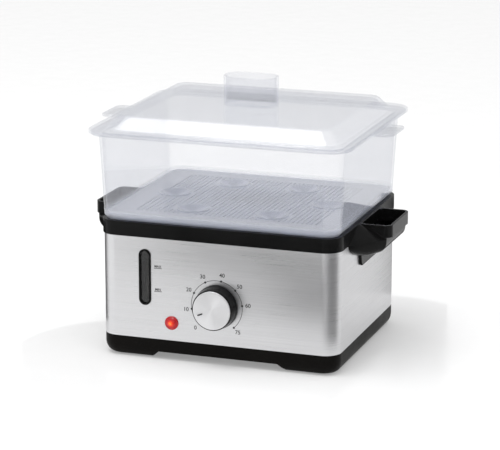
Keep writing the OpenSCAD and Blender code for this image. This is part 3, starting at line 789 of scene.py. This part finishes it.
def makeCollar():
    look = collarLook
    top, low = boxOf("top_collar")[1].z, steelHigh.z
    proud = (boxOf("top_collar")[1].y - boxOf("top_collar")[0].y - bodyDepth) / 2
    width, depth, corner = bodyWidth + 2 * proud, bodyDepth + 2 * proud, bodyCorner + proud
    seat, well = 2 * look["seatInset"], 2 * look["wellInset"]
    seatZ = top - look["seatDrop"]
    skirtIn = 2 * (look["skirtInset"] + look["skirtWall"])
    skirtOut = 2 * look["skirtInset"]
    rings = [ring(width, depth, corner, low), ring(width, depth, corner, top),
             ring(width - seat, depth - seat, look["seatCorner"], top),
             ring(width - seat, depth - seat, look["seatCorner"], seatZ),
             ring(width - well, depth - well + 2, look["wellCorner"], seatZ),
             ring(width - well, depth - well + 2, look["wellCorner"], low),
             ring(bodyWidth - skirtIn, bodyDepth - skirtIn, 12.4, low),
             ring(bodyWidth - skirtIn, bodyDepth - skirtIn, 12.4, low - look["skirt"]),
             ring(bodyWidth - skirtOut, bodyDepth - skirtOut, 14, low - look["skirt"]),
             ring(bodyWidth - skirtOut, bodyDepth - skirtOut, 14, low)]
    body = loft("collarRing", rings, closed=True)
    for side in (-1, 1):
        notch = flatRing(8, 48, 1, (side * bodyWidth / 2, 0))
        combine(body, plate("notch", notch, low - 10, low), "DIFFERENCE")
    soften(body, look["edge"], 3, 40)
    handle = joined("handle", [makePocket(), makeTrayFrame(), makeTongue(), makeDuct()])
    postLow = boxOf("top_collar")[0].z
    profile = [(1.55, postLow), (4, postLow), (4, low + 1), (0, low + 1), (0, 37), (1.55, 37)]
    post = turned("postForm", profile, 32, closed=True)
    spots = cornerSpots("base_screws", fixingLook["headRadius"])
    posts = grow(pointCloud("posts", spots), spreadTree, {"Part": post, "Material": glossBlack})
    bpy.data.objects.remove(post)
    piece = joined("topCollar", [body, handle, mirrored(handle, "leftHandle"), posts])
    dress(piece, glossBlack, "black_plastic", "base", "top_collar", "handle_right", "handle_left",
          angle=50)


# Drip tray: a flange on the collar's seat, a basin and a chimney for the steam

dripLook = {"wall": 2.0, "floor": 1.8, "chimneyWidth": 64, "chimneyDepth": 36, "chimneyWall": 1.8}


def makeDripTray():
    look = dripLook
    low, high = boxOf("drip_tray")
    width, depth = high.x - low.x, high.y - low.y
    basinWidth, basinDepth = width - 28, depth - 26
    wall, floorTop = 2 * look["wall"], low.z + look["floor"]
    tubeWidth, tubeDepth, tube = look["chimneyWidth"], look["chimneyDepth"], 2 * look["chimneyWall"]
    chimneyTop = high.z - 4
    flange = high.z - 1.5
    rings = [ring(tubeWidth, tubeDepth, 16, low.z), ring(basinWidth, basinDepth, 15, low.z),
             ring(basinWidth, basinDepth, 15, flange), ring(width, depth, 10, flange),
             ring(width, depth, 10, high.z),
             ring(basinWidth - wall, basinDepth - wall, 13, high.z),
             ring(basinWidth - wall, basinDepth - wall, 13, floorTop),
             ring(tubeWidth + tube, tubeDepth + tube, 17.8, floorTop),
             ring(tubeWidth + tube, tubeDepth + tube, 17.8, chimneyTop),
             ring(tubeWidth, tubeDepth, 16, chimneyTop)]
    piece = soften(loft("dripTray", rings, closed=True), 0.5, 3)
    dress(piece, milky, "tray_plastic", "drip_tray", "drip_tray", angle=50)


# Clear basket: locating ribs, floor ledge, flared walls, rim flange and finger tabs

basketLook = {"wall": 2.0, "flare": 4.0, "bottomCorner": 14, "topCorner": 17.5, "rimCorner": 20,
              "rimThick": 2.5, "ledgeTop": 4.0, "ledgeWidth": 192, "ledgeDepth": 156,
              "tabWidth": 44, "tabCorner": 7, "edge": 0.8, "rimWidth": 241, "ribInset": 11.5,
              "sideRib": 40, "frontRib": 55}


def makeBasket():
    look = basketLook
    low, high = boxOf("basket")
    foot = boxOf("top_collar")[1].z
    rimTop, rimLow = high.z, high.z - look["rimThick"]
    width, depth, flare = bodyWidth - 1, bodyDepth - 1, 2 * look["flare"]
    rimWidth, rimDepth = look["rimWidth"], high.y - low.y
    wall = 2 * look["wall"]
    ledge = foot + look["ledgeTop"]
    ribWidth, ribDepth = bodyWidth - 2 * look["ribInset"], bodyDepth - 2 * look["ribInset"]
    inWidth, inDepth = look["ledgeWidth"], look["ledgeDepth"]
    bottom, topCorner = look["bottomCorner"], look["topCorner"]
    rings = [ring(ribWidth - wall, ribDepth - wall, 8, foot),
             ring(width - 5, depth - 5, bottom - 2, foot), ring(width, depth, bottom, foot + 3.2),
             ring(width + flare, depth + flare, topCorner, rimLow),
             ring(rimWidth, rimDepth, look["rimCorner"], rimLow),
             ring(rimWidth, rimDepth, look["rimCorner"], rimTop),
             ring(width + flare - wall, depth + flare - wall, topCorner - 1, rimTop),
             ring(width - wall + 0.4, depth - wall + 0.4, bottom - 1, ledge),
             ring(inWidth, inDepth, 8, ledge), ring(inWidth, inDepth, 8, foot + 1),
             ring(ribWidth - wall, ribDepth - wall, 8, foot + 1)]
    piece = soften(loft("basketShell", rings, closed=True), look["edge"], 3, 25)
    thick = look["wall"]
    alongSide = flatRing(thick, 2 * look["sideRib"], 0.6, ((ribWidth - thick) / 2, 0))
    alongFront = flatRing(2 * look["frontRib"], thick, 0.6, (0, (ribDepth - thick) / 2))
    for outline in (alongSide, alongFront):
        for sign in (-1, 1):
            spots = [(sign * x, sign * y) for x, y in outline]
            combine(piece, plate("rib", spots, low.z, foot + 0.6), "UNION")
    for side in (-1, 1):
        inner, outer = side * (rimWidth / 2 - 1.6), side * high.x
        tab = flatRing(abs(outer - inner), look["tabWidth"], look["tabCorner"],
                       ((inner + outer) / 2, 0))
        form = plate("tab", tab, rimLow + 0.02, rimTop - 0.02)
        soften(form, look["edge"], 3)
        combine(piece, form, "UNION")
    dress(piece, clearWall, "clear_plastic", "basket", "basket", angle=50)


# Egg tray: a plain border, a perforated net and six shallow egg rests

trayLook = {"cell": 4.3, "hole": 0.52, "fieldWidth": 172, "fieldDepth": 141.9, "thick": 1.5,
            "restRadius": 15.0, "plain": 17.5, "open": 13.0,
            "eggs": [(-37, -52), (37, -52), (-74, 0), (74, 0), (-34, 50), (34, 50)]}


def makeEggTray():
    look = trayLook
    low, high = boxOf("egg_tray")
    floorLow, floorTop = high.z - 2.8, high.z - 1.0
    width, depth = high.x - low.x, high.y - low.y
    fieldWidth, fieldDepth = look["fieldWidth"], look["fieldDepth"]
    net = pointCloud("eggNet", [(x, y, floorTop - 0.1) for x, y in look["eggs"]])
    grow(net, netTree, {
        "Width": fieldWidth * metre, "Depth": fieldDepth * metre, "Cell": look["cell"] * metre,
        "Hole": look["hole"], "Plain": look["plain"] * metre, "Open": look["open"] * metre,
        "Height": (floorTop - 0.1) * metre, "Material": milky})
    thick = net.modifiers.new("thick", "SOLIDIFY")
    thick.thickness = look["thick"] * metre
    thick.offset = -1
    settle(net)
    rings = [ring(width, depth, 12, floorLow), ring(width, depth, 12, floorTop),
             ring(fieldWidth - 1, fieldDepth - 1, 2, floorTop),
             ring(fieldWidth - 1, fieldDepth - 1, 2, floorLow)]
    border = soften(loft("border", rings, closed=True), 0.45, 2)
    outer = look["restRadius"]
    profile = [(4, low.z), (5, low.z), (outer - 1.5, floorLow), (outer, floorLow),
               (outer, high.z), (outer - 1.2, high.z), (outer - 2.5, floorTop),
               (5.2, low.z + 1.8), (4, low.z + 1.8)]
    rest = soften(turned("rest", profile, 56, closed=True), 0.3, 2)
    rests = grow(pointCloud("rests", [(x, y, 0) for x, y in look["eggs"]]), spreadTree,
                 {"Part": rest, "Material": milky})
    bpy.data.objects.remove(rest)
    piece = joined("eggTray", [net, border, rests])
    dress(piece, trayPlastic, "tray_plastic", "egg_tray", "egg_tray", angle=50)


# Lid with its skirt, locating rib, raised top and vents, and the grip on it

lidLook = {"corner": 22, "thick": 2.0, "skirt": 1.5, "skirtWall": 1.4, "ribDrop": 3.0, "ribInset": 11.1,
           "ribWall": 1.5, "footInset": 14, "topInset": 24, "wall": 2.0, "ventRadius": 2.0,
           "ventPitch": 12, "notch": 58, "edge": 0.9}


def makeLid():
    look = lidLook
    low, high = boxOf("lid")
    rest = boxOf("basket")[1].z
    width, depth, corner = high.x - low.x, high.y - low.y, look["corner"]
    rimTop = rest + look["thick"]
    skirtLow, skirt = rest - look["skirt"], 2 * look["skirtWall"]
    rib, ribIn = 2 * look["ribInset"], 2 * (look["ribInset"] + look["ribWall"])
    foot, top, wall = 2 * look["footInset"], 2 * look["topInset"], 2 * look["wall"]
    ribLow = rest - look["ribDrop"]
    rings = [ring(width - top, depth - top, 11, high.z), ring(width - foot, depth - foot, 14, rimTop),
             ring(width, depth, corner, rimTop), ring(width, depth, corner, skirtLow),
             ring(width - skirt, depth - skirt, corner - 1.4, skirtLow),
             ring(width - skirt, depth - skirt, corner - 1.4, rest),
             ring(width - rib, depth - rib, 14, rest), ring(width - rib, depth - rib, 14, ribLow),
             ring(width - ribIn, depth - ribIn, 12.5, ribLow),
             ring(width - ribIn, depth - ribIn, 12.5, rest),
             ring(width - foot - wall, depth - foot - wall, 13, rest),
             ring(width - top - wall, depth - top - wall, 10, high.z - look["wall"])]
    piece = soften(loft("lidShell", rings), look["edge"], 4, 25)
    cutter = plate("skirtNotch", flatRing(width + 20, look["notch"], 2), skirtLow - 5, rest)
    slab = plate("keepRib", flatRing(width - skirt - 4, look["notch"] + 4, 2), skirtLow - 6, rest + 1)
    combine(cutter, slab, "DIFFERENCE")
    combine(piece, cutter, "DIFFERENCE")
    radius, ventTop = look["ventRadius"], high.z + 1
    for step in (-1, 0, 1):
        vent = turned("vent", [(0, rest), (radius, rest), (radius, ventTop), (0, ventTop)], 32)
        vent.data.transform(Matrix.Translation((step * look["ventPitch"] * metre, 0, 0)))
        combine(piece, vent, "DIFFERENCE")
    dress(piece, clearLid, "clear_plastic", "lid", "lid", angle=50)


gripLook = {"corner": 13.5, "wall": 2.0}


def makeGrip():
    low, high = boxOf("lid_grip")
    width, depth, wall = high.x - low.x, high.y - low.y, 2 * gripLook["wall"]
    corner, inner = gripLook["corner"], gripLook["corner"] - gripLook["wall"]
    rings = [ring(width, depth, corner, low.z), ring(width, depth, corner, high.z),
             ring(width - wall, depth - wall, inner, high.z),
             ring(width - wall, depth - wall, inner, low.z)]
    piece = soften(loft("lidGrip", rings, closed=True), 0.7, 4)
    dress(piece, clearLid, "clear_plastic", "lid", "lid_grip", angle=50)


# Front panel: window frame, lamp, knob and print

windowLook = {"frame": 3.6, "neck": 1.8, "corner": 9}


def makeWindow():
    low, high = boxOf("window_bezel")
    width, height = high.x - low.x, high.z - low.z
    proud, depth = frontY - low.y, high.y - frontY
    frame, neck = windowLook["frame"], windowLook["neck"]
    steps = ((0, 0), (0, proud), (frame, proud), (frame, -depth), (neck, -depth), (neck, 0))
    rings = [ring(width - less, height - less, windowLook["corner"], z) for less, z in steps]
    piece = soften(loft("windowFrame", rings, closed=True), 0.3, 3)
    toFront(piece, (low.x + high.x) / 2, (low.z + high.z) / 2)
    dress(piece, knobBlack, "black_plastic", "base", "window_bezel", angle=50)


lampLook = {"stem": 4.8, "facets": 10}


def makeLamp():
    outer, depth = (lampHigh.x - lampLow.x) / 2, lampHigh.y - frontY
    proud, stem = frontY - lampLow.y, lampLook["stem"]
    profile = ((stem, -depth), (stem, 0), (outer, 0), (outer, 0.8), (outer - 0.4, 1.2),
               (outer - 0.7, 1.2))
    body = loft("lampStem", [circle(r, z, 48) for r, z in profile])
    count = lampLook["facets"]
    sizes = [(outer - 0.8, 0.9, 0), (outer - 1.5, 1.9, 0.5), (outer - 3.1, 2.8, 0),
             (outer - 4.8, proud, 0.5)]
    points = [point for r, z, turn in sizes for point in circle(r, z, count, turn)]
    faces = [tuple(range(count - 1, -1, -1)), tuple(range(3 * count, 4 * count))]
    for row in range(3):
        for i in range(count):
            j = (i + 1) % count
            a, b = row * count + i, row * count + j
            c, d = a + count, b + count
            faces += [(a, b, d), (a, d, c)] if row == 1 else [(a, b, c), (b, d, c)]
    facets = meshPiece("lampFacets", points, faces)
    piece = toFront(joined("lampLens", [body, facets]), lampX, lampZ)
    dress(piece, redGlass, "red_lens", "base", "lamp_lens", angle=12)


knobLook = {"boreRadius": 3.0, "hub": 6.0}


def makeKnob():
    radius = (knobHigh.x - knobLow.x) / 2
    face = frontY - boxOf("knob_cap")[0].y
    capRadius = (boxOf("knob_cap")[1].x - boxOf("knob_cap")[0].x) / 2
    hub, bore = knobLook["hub"], knobLook["boreRadius"]
    profile = [(bore, 2), (hub, 2), (hub, face - 3.7), (radius - 3, face - 3.7), (radius - 2, 1.1),
               (radius - 0.35, 1.0), (radius, 1.4), (radius - 0.1, 2.8), (radius - 0.45, 3.4),
               (radius - 0.8, 6), (radius - 1.35, face - 1.4), (radius - 1.6, face - 0.8),
               (radius - 1.95, face - 0.6), (radius - 2.2, face - 0.75), (radius - 2.25, face - 1.4),
               (0, face - 1.4), (0, face - 2.7), (bore, face - 2.7)]
    piece = turned("knobBody", profile, 128, closed=True)
    toFront(piece, 0, dialHeight)
    dress(piece, knobBlack, "black_plastic", "knob", "knob", angle=35)

    profile = [(0, face - 1.38), (capRadius, face - 1.38), (capRadius, face - 0.6),
               (capRadius - 0.25, face - 0.22), (capRadius - 0.7, face - 0.04), (capRadius - 1.2, face),
               (capRadius * 0.5, face - 0.12), (1.2, face - 0.2), (0, face - 0.2)]
    cap = turned("knobFace", profile, 128)
    toFront(cap, 0, dialHeight)
    dress(cap, knobMetal, "knob_metal", "knob", "knob_cap", angle=30)


printLook = {"proud": 0.06, "ringRadius": 23.9, "ringWidth": 0.45, "dotRadius": 1.0, "start": -136.5,
             "perMinute": 3.66, "minutes": (0, 10, 20, 30, 40, 50, 60, 75), "numberRadius": 29.4,
             "numberSize": 5.1, "markSize": 3.0, "stroke": 0.07}


def textPiece(words, size, x, z):
    curve = bpy.data.curves.new("text", "FONT")
    curve.body = words
    curve.size = size * metre
    curve.align_x = "CENTER"
    curve.align_y = "CENTER"
    curve.extrude = printLook["proud"] / 2 * metre
    curve.offset = printLook["stroke"] * metre
    maker = linked("textMaker", curve)
    mesh = evaluated(maker)
    bpy.data.objects.remove(maker)
    mesh.transform(Matrix.Translation(Vector((0, 0, printLook["proud"] / 2)) * metre))
    return toFront(linked("word", mesh), x, z)


def makePrint():
    look = printLook
    proud, radius = look["proud"], look["ringRadius"]
    angles = [math.radians(look["start"] + look["perMinute"] * m) for m in look["minutes"]]
    steps = 90
    sections = []
    for k in range(steps + 1):
        angle = angles[0] + (angles[-1] - angles[0]) * k / steps
        inner, outer = radius - look["ringWidth"] / 2, radius + look["ringWidth"] / 2
        sections.append([(r * math.sin(angle), r * math.cos(angle), z)
                         for r, z in ((inner, 0), (outer, 0), (outer, proud), (inner, proud))])
    parts = [toFront(loft("dialArc", sections), 0, dialHeight)]
    dot = turned("dot", [(0, 0), (look["dotRadius"], 0), (look["dotRadius"], proud), (0, proud)], 24)
    spots = [(radius * math.sin(angle), radius * math.cos(angle), 0) for angle in angles]
    dots = grow(pointCloud("dots", spots), spreadTree, {"Part": dot, "Material": printInk})
    bpy.data.objects.remove(dot)
    parts.append(toFront(dots, 0, dialHeight))
    for minute, angle in zip(look["minutes"], angles):
        away = look["numberRadius"]
        parts.append(textPiece(str(minute), look["numberSize"], away * math.sin(angle),
                               dialHeight + away * math.cos(angle)))
    windowHigh = boxOf("window_bezel")[1].x
    for word, z in (("MAX", 84.5), ("MIN", 63.2)):
        parts.append(textPiece(word, look["markSize"], windowHigh + 6.6, z + 1.7))
        bar = plate("bar", flatRing(7.4, 0.55, 0.1), 0, proud)
        parts.append(toFront(bar, windowHigh + 6.6, z))
    dress(joined("panelPrint", parts), printInk, "black_plastic", "base", angle=30)


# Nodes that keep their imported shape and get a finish

keptFinish = {
    "water_tank": charcoal, "steam_sleeve": charcoal, "heater_gasket": silicone,
    "heater_plate": zinc, "heater_element": zinc, "heater_bracket": zinc, "heater_nuts": zinc,
    "thermostat": cream, "thermal_fuse": cream, "terminal_block": cream,
    "inner_wiring": wireSleeve, "cord_gland": satinBlack, "window_lens": smoked,
    "level_tube": clearTube, "level_float": floatDark, "lamp_holder": cream,
    "timer_case": cream, "timer_bell": zinc, "timer_screws": zinc, "timer_spindle": zinc,
    "knob_pointer": printInk,
}

makeBase()
makePadsAndScrews()
print("base made")
makeSteel()
makeCollar()
print("body made")
makeDripTray()
makeBasket()
makeEggTray()
makeLid()
makeGrip()
print("steamer made")
makeWindow()
makeLamp()
makeKnob()
makePrint()
print("front panel made")
for node, material in keptFinish.items():
    frame["nodes"][node].data.materials.clear()
    frame["nodes"][node].data.materials.append(material)


# Floor, light and camera

studio = {"world": 0.9, "worldBack": 0.6, "floorSize": 14, "floor": 0.74, "floorGlow": 0.26,
          "topLight": 12.5, "sideLight": 1.2, "flagReach": 0.1, "flagHeight": 0.1,
          "flagCentre": (0.096, 0.078)}


def makeFloor():
    mesh = bpy.data.meshes.new("floor")
    size = studio["floorSize"]
    mesh.from_pydata([(-size, -size, 0), (size, -size, 0), (size, size, 0), (-size, size, 0)], [],
                     [(0, 1, 2, 3)])
    floor = linked("floor", mesh)
    material, tree = startMaterial("paleFloor")
    grain = noise(tree, objectSpace(tree), 40, 3.0)
    shader = add(tree, "ShaderNodeBsdfPrincipled",
                 {"Base Color": grey(studio["floor"]), "Roughness": ranged(tree, grain, 0.2, 0.26),
                  "IOR": 1.4, "Emission Color": (1, 1, 1, 1),
                  "Emission Strength": studio["floorGlow"]})
    endMaterial(tree, shader)
    mesh.materials.append(material)


def makeLight(name, place, size, power, target=(0, 0, 0.1)):
    data = bpy.data.lights.new(name, "AREA")
    data.shape = "RECTANGLE"
    data.size, data.size_y = size
    data.energy = power
    light = bpy.data.objects.new(name, data)
    light.location = place
    light.rotation_euler = (Vector(target) - Vector(place)).to_track_quat("-Z", "Y").to_euler()
    scene.collection.objects.link(light)


# Soft white surround, darker low down behind the object
def makeWorld():
    world = bpy.data.worlds.new("studio")
    world.use_nodes = True
    tree = world.node_tree
    tree.nodes.clear()
    way = add(tree, "ShaderNodeSeparateXYZ",
              {0: add(tree, "ShaderNodeTexCoord").outputs["Generated"]}).outputs
    height = maths(tree, "SUBTRACT", maths(tree, "MULTIPLY", way[2], 1.3),
                   maths(tree, "MULTIPLY", way[1], 0.7))
    level = ranged(tree, height, studio["worldBack"], studio["world"], -0.5, 0.5)
    sky = add(tree, "ShaderNodeBackground", {"Color": (1, 1, 1, 1), "Strength": level})
    add(tree, "ShaderNodeOutputWorld", {"Surface": sky})
    scene.world = world


# Points round an upright corner of the body, from one bearing to another
def bearings(centre, start, end, reach, steps=24):
    angles = [math.radians(start + (end - start) * k / steps) for k in range(steps + 1)]
    return [(centre[0] + reach * math.sin(a), centre[1] - reach * math.cos(a)) for a in angles]


# Grey card standing on the floor along a path, seen in reflections only
def makeFlag(name, path, height, level):
    material, tree = startMaterial(name)
    shader = add(tree, "ShaderNodeBsdfDiffuse", {"Color": grey(level)})
    endMaterial(tree, shader)
    points, faces = [], []
    for k, (x, y) in enumerate(path):
        points += [(x, y, 0.002), (x, y, height)]
        if k:
            faces.append((2 * k - 2, 2 * k, 2 * k + 1, 2 * k - 1))
    mesh = bpy.data.meshes.new(name)
    mesh.from_pydata(points, [], faces)
    mesh.materials.append(material)
    flag = linked(name, mesh)
    flag.visible_camera = flag.visible_diffuse = flag.visible_shadow = False
    flag.visible_transmission = False


cameraLook = {"azimuth": 19.13, "elevation": 14.28, "distance": 2.236, "lens": 176.76,
              "target": (0, 0, 0.12), "lower": 0.0134, "left": 0.00115}


def makeCamera():
    look = cameraLook
    azimuth, elevation = math.radians(look["azimuth"]), math.radians(look["elevation"])
    back = Vector((math.sin(azimuth) * math.cos(elevation), -math.cos(azimuth) * math.cos(elevation),
                   math.sin(elevation)))
    data = bpy.data.cameras.new("camera")
    data.lens = look["lens"]
    data.clip_start, data.clip_end = 0.1, 60
    camera = bpy.data.objects.new("camera", data)
    camera.location = Vector(look["target"]) + look["distance"] * back
    right = Vector((math.cos(azimuth), math.sin(azimuth), 0))
    up = back.cross(right)
    aim = Vector(look["target"]) - look["lower"] * up - look["left"] * right
    camera.rotation_euler = (aim - camera.location).to_track_quat("-Z", "Y").to_euler()
    scene.collection.objects.link(camera)
    scene.camera = camera


makeFloor()
makeWorld()
for name, signX, signY, start, end, level in (
        ("paleFlag", 1, -1, 4, 28, 0.9), ("rightFlag", 1, -1, 28, 98, 0.36),
        ("leftFlag", -1, -1, -170, -88, 0.02), ("backFlag", 1, 1, 152, 205, 0.1)):
    centre = (signX * studio["flagCentre"][0], signY * studio["flagCentre"][1])
    path = bearings(centre, start, end, studio["flagReach"])
    makeFlag(name, path, studio["flagHeight"], level)
makeFlag("frontFlag", [(-0.16, -0.37), (0.06, -0.37)], 0.06, 0.3)
makeFlag("lowFlag", [(0.0, -0.24), (0.12, -0.24)], 0.05, 0.4)
makeLight("topSoftbox", (-0.3, -0.45, 1.75), (1.1, 0.9), studio["topLight"])
makeLight("leftSoftbox", (-1.6, -0.6, 0.9), (1.0, 1.4), studio["sideLight"])
makeCamera()

print("scene ready")
